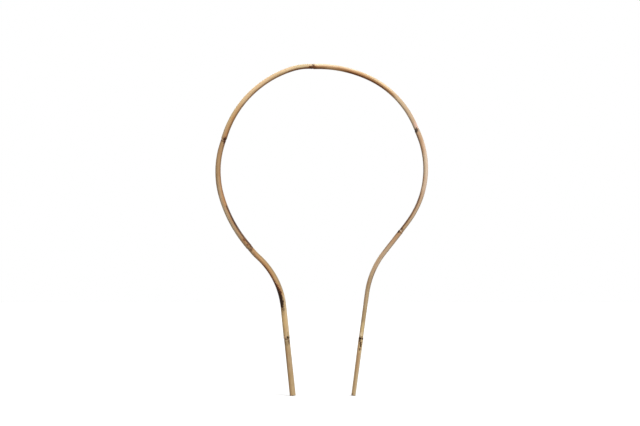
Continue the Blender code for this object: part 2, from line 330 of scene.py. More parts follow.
class Skin:
    """A material in the making: its colour, its gloss and its relief are built up in layers."""

    def __init__(self, name, srgb):
        self.material = bpy.data.materials.new(name)
        self.material.use_nodes = True
        self.tree = self.material.node_tree
        self.shader = self.tree.nodes["Principled BSDF"]
        self.place = self.node("Attribute", sets={"attribute_name": "cane"}).outputs["Vector"]
        self.along = self.node("SeparateXYZ", self.place).outputs["Z"]
        flat = self.node("VectorMath", self.place, (1.0, 1.0, 0.0), sets={"operation": "MULTIPLY"}).outputs[0]
        self.round = self.node("VectorMath", flat, sets={"operation": "NORMALIZE"}).outputs[0]
        self.torn = self.noise(*TEARS)
        self.frayed = self.noise(*FRAYS, shift=13.0)
        self.colour = shade(srgb)
        self.shader.inputs["Specular IOR Level"].default_value = SHINE

    def fill(self, socket, value):
        """Links a socket to an output, or gives it a value."""
        if isinstance(value, bpy.types.NodeSocket):
            self.tree.links.new(value, socket)
        else:
            socket.default_value = value

    def node(self, kind, *values, sets=None, **named):
        """A node with its settings, and its inputs filled in their order or by their names."""
        made = self.tree.nodes.new("ShaderNode" + kind)
        for setting, value in (sets or {}).items():
            setattr(made, setting, value)
        for number, value in enumerate(values):
            self.fill(made.inputs[number], value)
        for label, value in named.items():
            self.fill(made.inputs[label], value)
        return made

    def maths(self, operation, *values):
        """The result of a sum."""
        return self.node("Math", *values, sets={"operation": operation}).outputs[0]

    def ranged(self, value, low, high, to_low=0.0, to_high=1.0):
        """A smooth change from to_low to to_high as value goes from low to high."""
        smooth = {"interpolation_type": "SMOOTHSTEP"}
        return self.node("MapRange", value, low, high, to_low, to_high, sets=smooth).outputs["Result"]

    def noise(self, width, length, detail=3.0, shift=0.0):
        """Noise of that grain size round the cane and along it, moved aside so that no two patterns agree."""
        scale = (1 / width, 1 / width, 1 / length)
        place = self.node("Mapping", Vector=self.place, Scale=scale, Location=(shift, shift, shift))
        return self.node("TexNoise", Vector=place.outputs[0], Scale=1.0, Detail=detail).outputs["Fac"]

    def over(self, share, srgb):
        """Lays a colour over what is there, by a share from 0 to 1."""
        mix = self.node("Mix", share, sets={"data_type": "RGBA"})
        self.fill(mix.inputs[6], self.colour)
        self.fill(mix.inputs[7], shade(srgb))
        self.colour = mix.outputs[2]

    def tint(self, grain, none, full, strength, srgb):
        """Lays a colour over, from nothing at one level of the grain to its strength at another."""
        self.over(self.ranged(grain, none, full, 0.0, strength), srgb)

    def roughen(self, grain, least, most):
        """Makes the surface rougher with the grain, from least to most."""
        self.gloss = self.maths("MULTIPLY_ADD", grain, most - least, least)

    def dull(self, share, roughness):
        """Takes the gloss away, by a share from 0 to 1."""
        mix = self.node("Mix", share)
        self.fill(mix.inputs[2], self.gloss)
        self.fill(mix.inputs[3], roughness)
        self.gloss = mix.outputs[0]

    def side(self, angle, full, none):
        """A share that is 1 within full degrees of a side of the cane and 0 past none degrees."""
        turn = math.radians(angle)
        facing = self.node("VectorMath", self.round, (math.cos(turn), math.sin(turn), 0.0),
                           sets={"operation": "DOT_PRODUCT"}).outputs["Value"]
        return self.ranged(facing, math.cos(math.radians(none)), math.cos(math.radians(full)))

    def stretch(self, start, end, fade):
        """A share that is 1 from start to end along the cane, and fades out past them."""
        rise = self.ranged(self.along, start - fade, start)
        fall = self.ranged(self.along, end, end + fade, 1.0, 0.0)
        return self.maths("MULTIPLY", rise, fall)

    def stripe(self, angle, full, none, start, end, srgb, strength, fade):
        """A stripe along one side of the cane, broken up by the grain."""
        share = self.maths("MULTIPLY", self.side(angle, full, none), self.stretch(start, end, fade))
        gaps = self.noise(*STRIPE_GAPS, shift=angle)
        patchy = self.ranged(gaps, *STRIPE_LEVELS, strength * STRIPE_THINNEST, strength)
        self.over(self.maths("MULTIPLY", share, patchy), srgb)

    def stain(self, angle, at, wide, long, srgb, strength=1.0, edge=0.45, ragged=1.2, slant=0.0):
        """A spot, wide and long in metres, at an angle from the front, its edge frayed along the fibres."""
        turn = math.radians(angle)
        radius = (BUTT_DIAMETER + (TIP_DIAMETER - BUTT_DIAMETER) * at / cane_length) / 2
        spot = self.node(
            "Mapping", Vector=self.place, Location=(radius * math.cos(turn), radius * math.sin(turn), at),
            Rotation=(math.radians(slant), 0.0, turn), Scale=(radius, wide / 2, long / 2),
            sets={"vector_type": "TEXTURE"},
        ).outputs[0]
        reach = self.node("VectorMath", spot, sets={"operation": "LENGTH"}).outputs["Value"]
        for rough in (self.torn, self.frayed):
            reach = self.maths("ADD", reach, self.maths("MULTIPLY_ADD", rough, ragged, -ragged / 2))
        streaky = self.ranged(self.frayed, *STAIN_LEVELS, strength, strength * STAIN_THINNEST)
        share = self.maths("MULTIPLY", self.ranged(reach, 1.0 - edge, 1.0, 1.0, 0.0), streaky)
        self.over(share, srgb)
        return share

    def finish(self, depth):
        """Joins the layers to the shader, with the relief that deep in metres."""
        relief = self.node("Bump", Strength=1.0, Distance=depth, Height=self.relief).outputs["Normal"]
        for label, value in (("Base Color", self.colour), ("Roughness", self.gloss), ("Normal", relief)):
            self.fill(self.shader.inputs[label], value)
        return self.material


def bark(name, start, end):
    """Dry bark: satin, in long blotches, with fibres, faint streaks and pores, and its stripes on top."""
    skin = Skin(name + "_bark", HONEY)
    blotch = skin.noise(*BLOTCHES, shift=3.0)
    cloud = skin.noise(*CLOUDS, shift=11.0)
    streak = skin.noise(*STREAKS, shift=5.0)
    fibre = skin.noise(*FIBRES, detail=2.0, shift=7.0)
    pores = skin.noise(*PORES, detail=1.0, shift=9.0)
    ramp = skin.node("ValToRGB", skin.maths("DIVIDE", skin.along, cane_length))
    elements = ramp.color_ramp.elements
    while len(elements) < len(BARK_ALONG):
        elements.new(1.0)
    for element, (at, srgb) in zip(elements, BARK_ALONG):
        element.position = at / cane_length
        element.color = shade(srgb)
    skin.colour = ramp.outputs["Color"]
    skin.tint(blotch, 0.50, 0.72, 0.40, ORANGE_BLOTCH)
    skin.tint(blotch, 0.46, 0.28, 0.35, OLIVE_BLOTCH)
    skin.tint(cloud, 0.52, 0.70, 0.30, PALE_BLOTCH)
    skin.tint(streak, 0.58, 0.76, 0.45, STREAK_BROWN)
    skin.tint(fibre, 0.52, 0.30, 0.30, STREAK_BROWN)
    skin.tint(fibre, 0.55, 0.75, 0.25, PALE_BLOTCH)
    skin.tint(pores, 0.70, 0.77, 0.50, PORE_BROWN)
    skin.roughen(cloud, 0.34, 0.64)
    skin.relief = skin.maths("ADD", fibre, skin.maths("MULTIPLY", streak, 1.5))
    for angle, full, none, first, last, srgb, strength, fade in stripes:
        if first - fade < end and last + fade > start:
            skin.stripe(angle, full, none, first, last, srgb, strength, fade)
    return skin


def end_grain(name):
    """The sawn wall: cream wood with brown bundles of fibre, which crowd together under the bark."""
    skin = Skin(name + "_end", END_CREAM)
    cells = skin.node("Mapping", Vector=skin.place, Scale=BUNDLES_PER_METRE)
    bundle = skin.node("TexVoronoi", Vector=cells.outputs[0], Scale=1.0).outputs["Distance"]
    skin.tint(bundle, 0.50, 0.22, 0.75, BUNDLE_BROWN)
    skin.tint(skin.noise(*END_PATCHES), 0.45, 0.75, 0.60, END_BROWN)
    skin.roughen(bundle, 0.80, 0.90)
    skin.relief = bundle
    return skin.finish(BUNDLE_DEPTH)


def bore_lining(name):
    """The papery lining of the bore."""
    skin = Skin(name + "_bore", LINING_CREAM)
    paper = skin.noise(*PAPER)
    skin.tint(paper, 0.40, 0.70, 0.50, LINING_TAN)
    skin.roughen(paper, 0.82, 0.92)
    skin.relief = paper
    return skin.finish(PAPER_DEPTH)


def hollow_out(piece, skin):
    """Gives a segment its bark, and its wall, towards the inside, with its lining and its end grain."""
    for material in (skin.finish(FIBRE_DEPTH), bore_lining(piece.name), end_grain(piece.name)):
        piece.data.materials.append(material)
    finish_modifier(
        piece, "SOLIDIFY", thickness=WALL, offset=-1.0, use_even_offset=True, use_rim=True,
        material_offset=1, material_offset_rim=2,
    )


def hand_over(piece, node):
    """Keeps each point's place on the straight cane, bends the piece and puts it in its node's place."""
    straight = piece.data.attributes.new("cane", "FLOAT_VECTOR", "POINT")
    straight.data.foreach_set("vector", [c for vertex in piece.data.vertices for c in vertex.co])
    finish_modifier(piece, "CURVE", object=former, deform_axis="POS_Z")
    bpy.ops.object.shade_smooth_by_angle(angle=SMOOTH_ANGLE)
    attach(piece, "root")
    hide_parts(node)


def knuckle_at(lower):
    """The middle of the knuckle on top of a segment."""
    return spans[lower][1] + KNUCKLE_SPACE / 2


def mark(skin, lower, stains):
    """The stains round a knuckle, which run on over the segments beside it."""
    for angle, past, wide, long, srgb, strength in stains:
        skin.stain(angle, knuckle_at(lower) + past, wide, long, srgb, strength)


# Stains round the left leg's knuckle, olive beside the bud and pink above the scar: angle, place past the
# knuckle's middle, width, length, colour and strength
OLIVE_BROWN = (134, 112, 74)
DARK_TAN = (112, 86, 54)
PINK_TAN = (216, 176, 146)
LEFT_LEG_MARKS = (
    (-58, -0.0070, 0.0070, 0.0110, STREAK_BROWN, 0.75),
    (0, -0.0080, 0.0120, 0.0140, OLIVE_BROWN, 0.60),
    (54, -0.0050, 0.0090, 0.0130, DARK_TAN, 1.00),
    (50, 0.0020, 0.0068, 0.0090, OLIVE_BROWN, 0.90),
    (30, 0.0090, 0.0028, 0.0110, OLIVE_BROWN, 0.70),
    (-42, 0.0038, 0.0070, 0.0052, PINK_TAN, 0.80),
    (-44, -0.0008, 0.0080, 0.0025, SCORCH_BROWN, 1.00),
    (4, -0.0010, 0.0065, 0.0022, SCORCH_BROWN, 0.95),
)

# Stripes along the cane: angle of the middle, degrees to where the stripe is full and to where it ends, start
# and end in metres from the left foot, colour, strength, and the metres that it fades out over. A stripe runs
# on over as many pieces as it crosses. Each section adds its own.
stripes = [
    (-82, 25, 55, 0.000, 0.160, STREAK_BROWN, 0.22, 0.012),
    (-22, 5, 16, 0.004, 0.085, ORANGE_BLOTCH, 0.30, 0.012),
    (90, 16, 36, 0.010, 0.105, OLIVE_BROWN, 0.40, 0.012),
    (52, 20, 46, 0.115, 0.180, PALE_BLOTCH, 0.35, 0.012),
]

piece = grow_tube("left_foot")
skin = bark("left_foot", *spans["left_foot"])
skin.stain(-70, at=0.002, wide=0.008, long=0.006, srgb=STREAK_BROWN, strength=0.5)
mark(skin, "left_foot", LEFT_LEG_MARKS)
hollow_out(piece, skin)
saw_end(piece, 0.0)
swell(piece, 0.0002, angle=78, around=40, at=0.0, reach=0.0022)
hand_over(piece, "left_foot")


# Left leg knuckle: the solid joint in the cane, with the scar of the fallen sheath as a thin flaring lip, a
# groove behind it and the rounded ridge that the next segment grew from. A dry bud of two scales lies on the
# ridge, with a black dot on it. The shape, the bud and the browning of every knuckle are made here.
SCAR_LAND = 0.0012
SCAR_FLARE = 0.0018
SCAR_WIDTH = 0.0006
SCAR_HEIGHT = 0.0003
GROOVE_WIDTH = 0.0008
GROOVE_DEPTH = 0.0002
RIDGE_WIDTH = 0.0052
RIDGE_HEIGHT = 0.0004
RIDGE_LAND = 0.0008
FLARE_STEPS = 7
RIDGE_STEPS = 20

# Places past the knuckle's middle. The lip is worn, and beside a bud it dips and the ridge lifts: distance,
# place and reach.
LIP_AT = -0.0019
GROOVE_AT = -0.0012
RIDGE_AT = 0.0018
WEAR_DEGREES = 7
WEAR_SHIFT = 900
LIP_WEAR = (-0.00022, LIP_AT + 0.0002, 0.0008)
SCAR_DIP = (-0.0005, LIP_AT, 0.0019)
RIDGE_LIFT = (0.0007, RIDGE_AT, 0.0026)
BUD_SIDE = 110

# The channel above a bud, the hollow round it, and its two scales. A bud's angle is counted from the front.
SULCUS_AT = 0.012
SULCUS_DEPTH = -0.0002
SULCUS_BELOW = 0.008
SULCUS_ABOVE = 0.060
SULCUS_SIDE = 42
HOLLOW_DEPTH = -0.00018
HOLLOW_WIDTH = 0.0022
HOLLOW_LENGTH = 0.0029
HOLLOW_RIM = 0.5
HOLLOW_REACH = 0.0031
FRONT_BUD = 25
BACK_BUD = FRONT_BUD + 180
BUD_AT = 0.0022
BUD_SIZE = (0.0018, 0.0030, 0.0044)
BUD_SIDES = 28
BUD_RINGS = 18
BUD_TAPER = -0.75
INNER_SHARE = (0.72, 0.55, 0.90)
INNER_RISE = 0.0005
INNER_TURN = 3
INNER_OUT = 0.0002

# Bands of colour, as place past the middle, half width, colour and strength, and the stains of a bud, as
# place past its own middle, width, length, colour, strength and softness of the edge
KNUCKLE_BROWN = (142, 106, 70)
BUD_BROWN = (112, 76, 48)
CHAR_BLACK = (35, 20, 10)
BANDS_AND_GROOVE_SHADE = (
    (-0.0040, 0.0016, PALE_BLOTCH, 0.15),
    (RIDGE_AT, 0.0034, KNUCKLE_BROWN, 0.40),
    (LIP_AT - 0.0002, 0.0007, PALE_BLOTCH, 0.50),
    # Dark in the groove: partly the scar's brown bark, partly painted shade in the recess
    (GROOVE_AT, 0.0007, SCORCH_BROWN, 0.85),
)
BAND_CORE = 0.35
BAND_RAGGED = 0.0016
BAND_PATCHES = (0.003, 0.003)
BAND_THINNEST = 0.35
KNUCKLE_DULLER = 0.08
BUD_STAINS_AND_SHADOW = (
    # A broad brown halo under the bud's own stain: partly brown bark, partly a painted shadow line round the
    # bud
    (0.0000, 0.0042, 0.0058, STREAK_BROWN, 0.65, 0.45),
    (0.0000, 0.0026, 0.0042, BUD_BROWN, 0.90, 0.30),
    (0.0017, 0.0016, 0.0020, CHAR_BLACK, 0.90, 0.30),
)
BUD_DOT = (21, 0.0028, 0.0044, 0.0050)


def knuckle_outline(lower, upper):
    """(height, radius) from the butt side up, over the flare, the lip, the groove and the ridge."""
    below = bark_radius(lower, spans[lower][1])
    above = bark_radius(upper, spans[upper][0])
    low = spans[lower][1] + JOINT
    high = spans[upper][0] - JOINT
    length = SCAR_LAND + SCAR_FLARE + SCAR_WIDTH + GROOVE_WIDTH + RIDGE_WIDTH + RIDGE_LAND
    flare = knuckle_at(lower) - length / 2 + SCAR_LAND
    outline = [(low, bark_radius(lower, low)), ((low + flare) / 2, below), (flare, below)]
    for step in range(1, FLARE_STEPS + 1):
        share = step / FLARE_STEPS
        outline.append((flare + SCAR_FLARE * share, below + SCAR_HEIGHT * share ** 2))
    lip = flare + SCAR_FLARE + SCAR_WIDTH
    outline += [
        (lip - SCAR_WIDTH / 2, below + SCAR_HEIGHT),
        (lip - SCAR_WIDTH / 6, below + SCAR_HEIGHT * 0.9),
        (lip, below + SCAR_HEIGHT * 0.6),
        (lip + SCAR_WIDTH / 20, below - GROOVE_DEPTH * 0.6),
        (lip + GROOVE_WIDTH / 3, below - GROOVE_DEPTH),
        (lip + GROOVE_WIDTH * 2 / 3, below - GROOVE_DEPTH * 0.9),
    ]
    ridge = lip + GROOVE_WIDTH
    for step in range(RIDGE_STEPS + 1):
        share = step / RIDGE_STEPS
        bark_here = below - GROOVE_DEPTH * 0.8 * (1 - share) + (above - below) * share
        ridge_here = RIDGE_HEIGHT * math.sin(math.pi * share) ** 2
        outline.append((ridge + RIDGE_WIDTH * share, bark_here + ridge_here))
    outline += [((ridge + RIDGE_WIDTH + high) / 2, above), (high, bark_radius(upper, high))]
    return outline


def turn_knuckle(name, lower, upper, bud_angle):
    """The knuckle's skin, drawn up ring by ring, with its lip worn and its ridge raised on the bud's side."""
    middle = knuckle_at(lower)
    outline = knuckle_outline(lower, upper)
    height, radius = outline[0]
    bpy.ops.object.select_all(action="DESELECT")
    bpy.ops.mesh.primitive_circle_add(vertices=SIDES, radius=radius, location=(0.0, 0.0, height))
    piece = added(name)
    bpy.ops.object.mode_set(mode="EDIT")
    bpy.ops.mesh.select_all(action="SELECT")
    for next_height, next_radius in outline[1:]:
        bpy.ops.mesh.extrude_region_move(TRANSFORM_OT_translate={"value": (0.0, 0.0, next_height - height)})
        widen = next_radius / radius
        bpy.ops.transform.resize(value=(widen, widen, 1.0), center_override=(0.0, 0.0, next_height))
        height, radius = next_height, next_radius
    leave_edit()
    uneven(piece)
    near_bud = lambda angle: hill(turned(angle, bud_angle), 0, BUD_SIDE)
    worn = lambda angle: 0.5 + 0.5 * noise.noise(Vector((angle / WEAR_DEGREES, middle * WEAR_SHIFT, 0.0)))
    for (distance, at, reach), share in ((SCAR_DIP, near_bud), (RIDGE_LIFT, near_bud), (LIP_WEAR, worn)):
        push(piece, distance, lambda angle, along: share(angle) * hill(along, middle + at, reach), "Z")
    sulcus(piece, middle, bud_angle)
    pick(piece, "EDGE", lambda edge: False)
    bpy.ops.mesh.select_non_manifold()
    bpy.ops.mesh.fill_holes(sides=0)
    bpy.ops.mesh.select_all(action="SELECT")
    bpy.ops.mesh.normals_make_consistent(inside=False)
    leave_edit()
    return piece


def sulcus(piece, middle, bud_angle):
    """The shallow channel in the bark above a bud, where the bud pressed on the young cane."""
    deepest = middle + SULCUS_AT
    fade = lambda along: hill(along, deepest, SULCUS_BELOW if along < deepest else SULCUS_ABOVE)
    across = lambda angle: hill(turned(angle, bud_angle), 0, SULCUS_SIDE)
    push(piece, SULCUS_DEPTH, lambda angle, along: across(angle) * fade(along))


def bud_scale(name, height, angle, out, size):
    """One scale of a bud: a flat oval, pointed at the top, set against the ridge."""
    bpy.ops.object.select_all(action="DESELECT")
    bpy.ops.mesh.primitive_uv_sphere_add(segments=BUD_SIDES, ring_count=BUD_RINGS, radius=0.5)
    bpy.context.object.scale = size
    scale = added(name)
    finish_modifier(scale, "SIMPLE_DEFORM", deform_method="TAPER", deform_axis="Z", factor=BUD_TAPER)
    turn = math.radians(angle)
    scale.rotation_euler = (0.0, 0.0, turn)
    scale.location = (out * math.cos(turn), out * math.sin(turn), height)
    take(scale)
    return added(name)


def join_on(piece, other):
    """Makes the other object one with the piece; it takes the piece's bark where it has no material."""
    if not other.data.materials:
        other.data.materials.append(piece.data.materials[0])
    finish_modifier(
        piece, "BOOLEAN", object=other, operation="UNION", solver="EXACT", material_mode="TRANSFER",
    )
    bpy.data.objects.remove(other)


def knuckle_radius(lower, upper):
    """The radius of the bark at a knuckle, between those of the segments beside it."""
    return (bark_radius(lower, spans[lower][1]) + bark_radius(upper, spans[upper][0])) / 2


def set_bud(piece, lower, upper, angle):
    """A dry bud of two scales, with a shallow hollow round it in the ridge."""
    height = knuckle_at(lower) + BUD_AT
    out = knuckle_radius(lower, upper)
    around = lambda degrees: math.radians(turned(degrees, angle)) * out / HOLLOW_WIDTH
    off = lambda degrees, along: math.hypot(around(degrees), (along - height) / HOLLOW_LENGTH)
    push(piece, HOLLOW_DEPTH, lambda degrees, along: (
        hill(off(degrees, along), 1.0, HOLLOW_RIM) * hill(along, height, HOLLOW_REACH)
    ))
    join_on(piece, bud_scale("outer_scale", height, angle, out, BUD_SIZE))
    inner_size = [size * share for size, share in zip(BUD_SIZE, INNER_SHARE)]
    inner_place = (height + INNER_RISE, angle + INNER_TURN, out + INNER_OUT)
    join_on(piece, bud_scale("inner_scale", *inner_place, inner_size))


def knuckle_bark(name, lower):
    """Bark of a knuckle: dusty below the scar, dark in its groove, partly as painted shade, and brown on the
    ridge.
    """
    middle = knuckle_at(lower)
    skin = bark(name, spans[lower][1], spans[lower][1] + KNUCKLE_SPACE)
    ragged = skin.maths("MULTIPLY_ADD", skin.torn, BAND_RAGGED, -BAND_RAGGED / 2)
    along = skin.maths("ADD", skin.maths("SUBTRACT", skin.along, middle), ragged)
    patchy = skin.ranged(skin.noise(*BAND_PATCHES, shift=2.0), 0.3, 0.6, BAND_THINNEST, 1.0)
    for at, half, srgb, strength in BANDS_AND_GROOVE_SHADE:
        off = skin.maths("ABSOLUTE", skin.maths("SUBTRACT", along, at))
        share = skin.ranged(off, half * BAND_CORE, half, strength, 0.0)
        skin.over(skin.maths("MULTIPLY", share, patchy), srgb)
    skin.gloss = skin.maths("ADD", skin.gloss, KNUCKLE_DULLER)
    skin.relief = skin.maths("ADD", skin.relief, skin.torn)
    return skin


def black_dot(skin, lower, angle, past, wide, long):
    """A crisp black dot."""
    skin.stain(angle, knuckle_at(lower) + past, wide, long, CHAR_BLACK, edge=0.2, ragged=0.6)


def grow_knuckle(side, lower, upper, bud_angle, stains, dot=None):
    """A whole knuckle with its bark and a bud, brown round the bud, partly as a painted shadow line, in the
    place of its node.
    """
    piece = turn_knuckle(side + "_knuckle", lower, upper, bud_angle)
    skin = knuckle_bark(piece.name, lower)
    for past, wide, long, srgb, strength, edge in BUD_STAINS_AND_SHADOW:
        skin.stain(bud_angle, knuckle_at(lower) + BUD_AT + past, wide, long, srgb, strength, edge)
    mark(skin, lower, stains)
    if dot:
        black_dot(skin, lower, *dot)
    piece.data.materials.append(skin.finish(FIBRE_DEPTH))
    set_bud(piece, lower, upper, bud_angle)
    hand_over(piece, side + "_node")


grow_knuckle("left_leg", "left_foot", "left_shoulder", FRONT_BUD, LEFT_LEG_MARKS, BUD_DOT)


# Left shoulder: the second segment, straight up the leg and then bent outwards. Bamboo bends only where a
# flame has softened it, and here it was held there too long: its outer side is burnt black over a hand's
# width, with a red-brown rim, and scorched along that edge up to the next knuckle.
TOFFEE = (168, 114, 66)
TOASTED = (110, 60, 26)
RIM_RED = (132, 66, 34)
RIM_BROWN = (98, 54, 26)
BURNT_BROWN = (62, 33, 16)
DARK_OLIVE = (150, 124, 86)
SOOT = (58, 40, 32)

# The burn, in layers: angle, place, width, length, colour, strength, softness and raggedness of the edge
BURN_AT = 0.1830
BURN_SLANT = 4.5
BURN_RIM = (
    (-28, BURN_AT + 0.0120, 0.0110, 0.0420, RIM_RED, 0.90),
    (-37, BURN_AT, 0.0124, 0.0640, BURNT_BROWN, 1.00, 0.30),
)
CHAR = (-43, BURN_AT - 0.0015, 0.0104, 0.0450, CHAR_BLACK, 1.00, 0.30, 0.5)
BURN_END = (-64, BURN_AT + 0.0220, 0.0100, 0.0300, BURNT_BROWN, 1.00, 0.35)
CHAR_ROUGHNESS = 0.85
CHAR_CRACKLE = 6.0
LEFT_LOWER_MARKS = (
    (-30, -0.0046, 0.0096, 0.0066, STREAK_BROWN, 0.85),
    (20, -0.0042, 0.0090, 0.0066, STREAK_BROWN, 0.90),
    (62, 0.0004, 0.0078, 0.0130, SCORCH_BROWN, 0.95),
    (-66, -0.0010, 0.0056, 0.0050, SCORCH_BROWN, 0.45),
    (2, -0.0146, 0.0026, 0.0070, RIM_RED, 0.35),
    (-4, -0.0062, 0.0046, 0.0040, SCORCH_BROWN, 0.60),
    (4, 0.0060, 0.0040, 0.0062, RIM_BROWN, 0.85),
    (8, 0.0056, 0.0024, 0.0040, RIM_RED, 0.70),
    (6, 0.0178, 0.0040, 0.0076, RIM_BROWN, 0.70),
    (4, 0.0174, 0.0028, 0.0048, RIM_RED, 0.90),
    (-16, 0.0120, 0.0024, 0.0060, RIM_RED, 0.30),
)


def grow_segment(name, lower, bud_angle, stains_below, stains_above=()):
    """A segment with the channel of the bud below it, and its bark with the stains of both its knuckles."""
    piece = grow_tube(name)
    sulcus(piece, knuckle_at(lower), bud_angle)
    skin = bark(name, *spans[name])
    mark(skin, lower, stains_below)
    mark(skin, name, stains_above)
    return piece, skin


def finish_segment(piece, skin, node):
    """Dresses and hollows out a segment, and puts it in its node's place."""
    hollow_out(piece, skin)
    hand_over(piece, node)


stripes += [
    (-30, 34, 64, 0.205, 0.265, ORANGE_BLOTCH, 0.45, 0.020),
    (72, 34, 60, 0.200, 0.282, DARK_OLIVE, 0.85, 0.015),
    (14, 6, 22, 0.216, 0.262, YELLOW_OLIVE, 0.25, 0.015),
    (-90, 52, 76, 0.196, 0.246, TOASTED, 0.95, 0.014),
    (40, 18, 45, 0.300, 0.420, ORANGE_BLOTCH, 0.45, 0.040),
    (30, 46, 80, 0.308, 0.356, TOFFEE, 0.40, 0.010),
    (-72, 44, 76, 0.330, 0.392, PALE_BLOTCH, 0.35, 0.020),
    (90, 60, 80, 0.293, 0.380, SOOT, 0.95, 0.005),
]

piece, skin = grow_segment("left_shoulder", "left_foot", FRONT_BUD, LEFT_LEG_MARKS, LEFT_LOWER_MARKS)
for layer in BURN_RIM:
    skin.stain(*layer, slant=BURN_SLANT)
char = skin.stain(*CHAR, slant=BURN_SLANT)
skin.stain(*BURN_END, slant=BURN_SLANT)
skin.dull(char, CHAR_ROUGHNESS)
crackle = skin.maths("MULTIPLY", skin.maths("MULTIPLY", char, skin.torn), CHAR_CRACKLE)
skin.relief = skin.maths("ADD", skin.relief, crackle)
finish_segment(piece, skin, "left_shoulder")


# Left lower knuckle: where the shoulder turns into the hoop. Its bud is at the back. Heat has browned its
# scar and ridge on both edges.
grow_knuckle("left_lower", "left_shoulder", "left_lower_hoop", BACK_BUD, LEFT_LOWER_MARKS)


# Left lower hoop: the third segment, up the hoop's left side. The flame went along the hoop's inside, which
# has a dark line for the first half and red-brown specks beside the knuckle.
LEFT_UPPER_MARKS = (
    (-62, 0.0002, 0.0056, 0.0056, PINK_TAN, 0.80),
    (-34, -0.0038, 0.0044, 0.0040, SCORCH_BROWN, 0.75),
    (30, -0.0004, 0.0100, 0.0130, RIM_BROWN, 0.95),
    (44, -0.0048, 0.0070, 0.0090, BURNT_BROWN, 0.90),
    (24, 0.0012, 0.0070, 0.0070, BURNT_BROWN, 0.95),
)

stripes += [
    (-82, 34, 64, 0.400, 0.500, STREAK_BROWN, 0.30, 0.012),
    (90, 44, 66, 0.384, 0.480, STREAK_BROWN, 0.60, 0.020),
    (6, 14, 34, 0.516, 0.576, ORANGE_BLOTCH, 0.50, 0.012),
    (90, 52, 76, 0.500, 0.578, TOASTED, 0.70, 0.020),
]

piece, skin = grow_segment("left_lower_hoop", "left_shoulder", BACK_BUD, LEFT_LOWER_MARKS, LEFT_UPPER_MARKS)
finish_segment(piece, skin, "left_lower_hoop")


# Left upper knuckle: solid bamboo, as all of them are, high on the hoop's left side. Its bud faces the front
# and sits in a burnt blotch, the darkest mark on the hoop.
grow_knuckle("left_upper", "left_lower_hoop", "left_upper_hoop", FRONT_BUD, LEFT_UPPER_MARKS)


# Left upper hoop: the fourth segment, over the crown to the top. Paler cream bark outside, and a scorched
# line inside that gets broader and darker towards the top.
AMBER = (200, 140, 84)
IVORY_AND_HIGHLIGHT = (244, 228, 196)
TOP_MARKS = (
    (-50, -0.0009, 0.0050, 0.0050, STREAK_BROWN, 0.65),
    (-24, 0.0008, 0.0056, 0.0048, STREAK_BROWN, 0.80),
    (4, 0.0016, 0.0056, 0.0048, RIM_BROWN, 0.80),
    (26, -0.0044, 0.0086, 0.0110, RIM_BROWN, 0.90),
    (32, -0.0040, 0.0056, 0.0064, BURNT_BROWN, 0.80),
    (40, 0.0036, 0.0080, 0.0090, RIM_BROWN, 0.85),
)

stripes += [
    (90, 54, 84, 0.606, 0.732, AMBER, 0.55, 0.020),
    (90, 40, 66, 0.605, 0.680, TOASTED, 0.65, 0.030),
    (24, 26, 52, 0.734, 0.890, TOFFEE, 0.80, 0.020),
    (90, 58, 82, 0.696, 0.750, TOASTED, 0.90, 0.020),
    # Ivory on the upward outer edge past the top: partly paler bark, partly a painted highlight of the key
    # lamp
    (-90, 46, 80, 0.744, 0.806, IVORY_AND_HIGHLIGHT, 0.55, 0.020),
]

piece, skin = grow_segment("left_upper_hoop", "left_lower_hoop", FRONT_BUD, LEFT_UPPER_MARKS, TOP_MARKS)
skin.stain(4, at=0.550, wide=0.003, long=0.010, srgb=ORANGE_BLOTCH, strength=0.5)
finish_segment(piece, skin, "left_upper_hoop")


# Top knuckle: the middle knuckle, level at the very top. Its bud is at the back, and its sheath scar dips
# there, so that from the front the ring looks like an arch between dark corners.
grow_knuckle("top", "left_upper_hoop", "right_upper_hoop", BACK_BUD, TOP_MARKS)


# Right upper hoop: the fifth segment, from the top down the right crown. Cream outside and dark brown inside,
# with orange-brown bark between the two, until the scorch ends. Past that the bark swells a little.
BULGE = 0.00022
GREY_BROWN = (130, 100, 76)
WEATHERED_GREY = (80, 72, 68)
PALE_GREY = (200, 182, 162)
PINK_CREAM_AND_HIGHLIGHT = (234, 208, 188)
BLUSH = (226, 186, 168)
RIGHT_UPPER_MARKS = (
    (-36, -0.0080, 0.0096, 0.0180, BLUSH, 0.80),
    (-10, -0.0032, 0.0026, 0.0032, SCORCH_BROWN, 0.95),
    (26, 0.0010, 0.0108, 0.0096, WEATHERED_GREY, 1.00),
    (-8, 0.0011, 0.0056, 0.0052, SCORCH_BROWN, 0.90),
    (28, 0.0012, 0.0046, 0.0048, CHAR_BLACK, 0.85),
    (-50, 0.0035, 0.0056, 0.0060, PALE_GREY, 0.70),
    (58, 0.0120, 0.0060, 0.0180, GREY_BROWN, 0.80),
)

stripes += [
    (-4, 26, 50, 0.790, 0.836, TOFFEE, 0.50, 0.020),
    (90, 58, 82, 0.804, 0.872, TOASTED, 0.95, 0.020),
    (90, 42, 64, 0.892, 0.955, GREY_BROWN, 0.40, 0.020),
    (-56, 40, 70, 0.905, 0.982, ROSY_TAN, 0.65, 0.020),
    (0, 30, 60, 0.984, 1.012, ORANGE_BLOTCH, 0.40, 0.012),
    (90, 54, 84, 0.988, 1.040, HONEY, 0.45, 0.020),
    (90, 48, 70, 0.976, 1.085, GREY_BROWN, 0.75, 0.020),
    # Pink cream on the outer side: partly the bark's own colour, partly a painted highlight where the key
    # lamp falls
    (-60, 34, 64, 1.012, 1.085, PINK_CREAM_AND_HIGHLIGHT, 0.50, 0.020),
]

